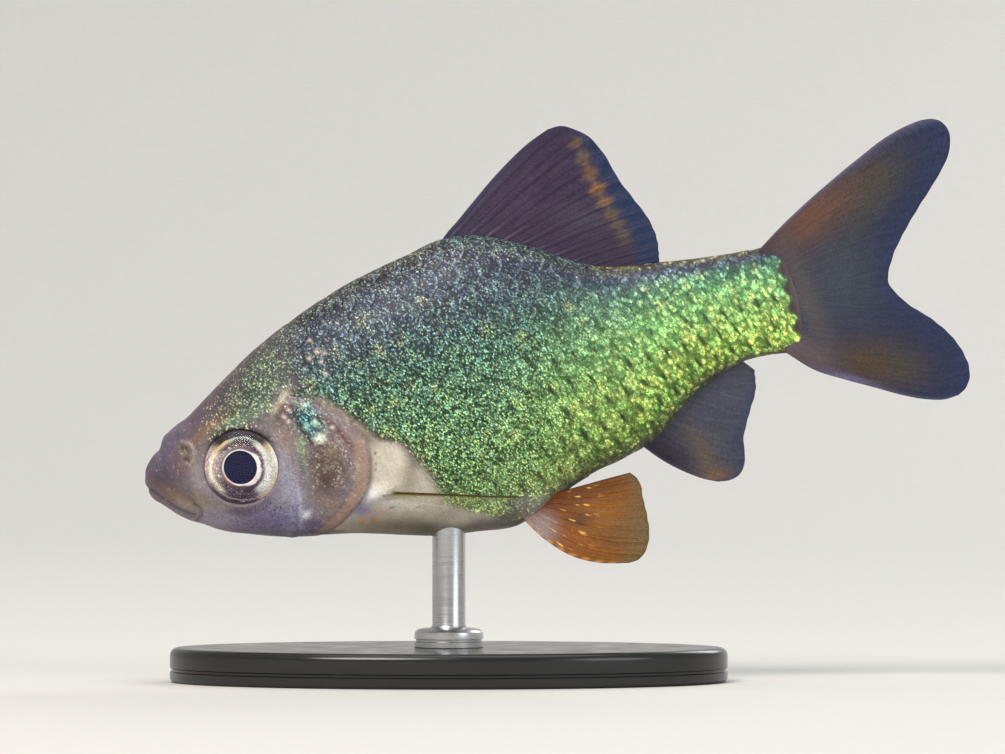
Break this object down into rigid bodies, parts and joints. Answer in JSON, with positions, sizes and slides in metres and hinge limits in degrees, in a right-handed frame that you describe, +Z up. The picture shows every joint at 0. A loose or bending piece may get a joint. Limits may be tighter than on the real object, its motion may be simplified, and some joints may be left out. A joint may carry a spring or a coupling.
{
  "type": "tiger barb model",
  "caption": "Still, life-size tiger barb in its moss green colour form, swimming head down with fins spread, held over an oval base by one rod.",
  "frame": {"origin": "centre of the whole model's outline seen from above, on the floor at the underside of the stand's base", "axes": "+X runs from the snout to the tail, level; +Y is the fish's right side; +Z is up. The fish is pitched head down by 14.8 degrees about Y"},
  "size_m": [0.062, 0.026, 0.0423],
  "materials": {
    "skin": "wet scaled skin, dark ground under dense green and gold glitter",
    "head_skin": "wet scaleless skin, lilac grey to rust brown",
    "gill_plate": "wet bony plate, brown with a tan rim",
    "eye": "clear wet cornea over a silver iris and a dark pupil",
    "dorsal_fin": "thin dark purple membrane with an orange band",
    "caudal_fin": "thin slate blue membrane with rust streaks",
    "anal_fin": "thin grey lilac membrane with an ochre patch",
    "pelvic_fin": "thin orange brown membrane with yellow flecks",
    "pectoral_fin": "thin, almost clear membrane with a dark first ray",
    "stand_base": "satin black acrylic",
    "stand_rod": "turned and brushed steel"
  },
  "bodies": {
    "root": {"head": "head_skin", "gill_cover_left": "gill_plate", "gill_cover_right": "gill_plate", "trunk": "skin", "tail_stalk": "skin", "eye_left": "eye", "eye_right": "eye", "dorsal_fin": "dorsal_fin", "anal_fin": "anal_fin", "caudal_fin": "caudal_fin", "pelvic_fin_left": "pelvic_fin", "pelvic_fin_right": "pelvic_fin", "pectoral_fin_left": "pectoral_fin", "pectoral_fin_right": "pectoral_fin", "stand_base": "stand_base", "stand_rod": "stand_rod"}
  },
  "joints": []
}
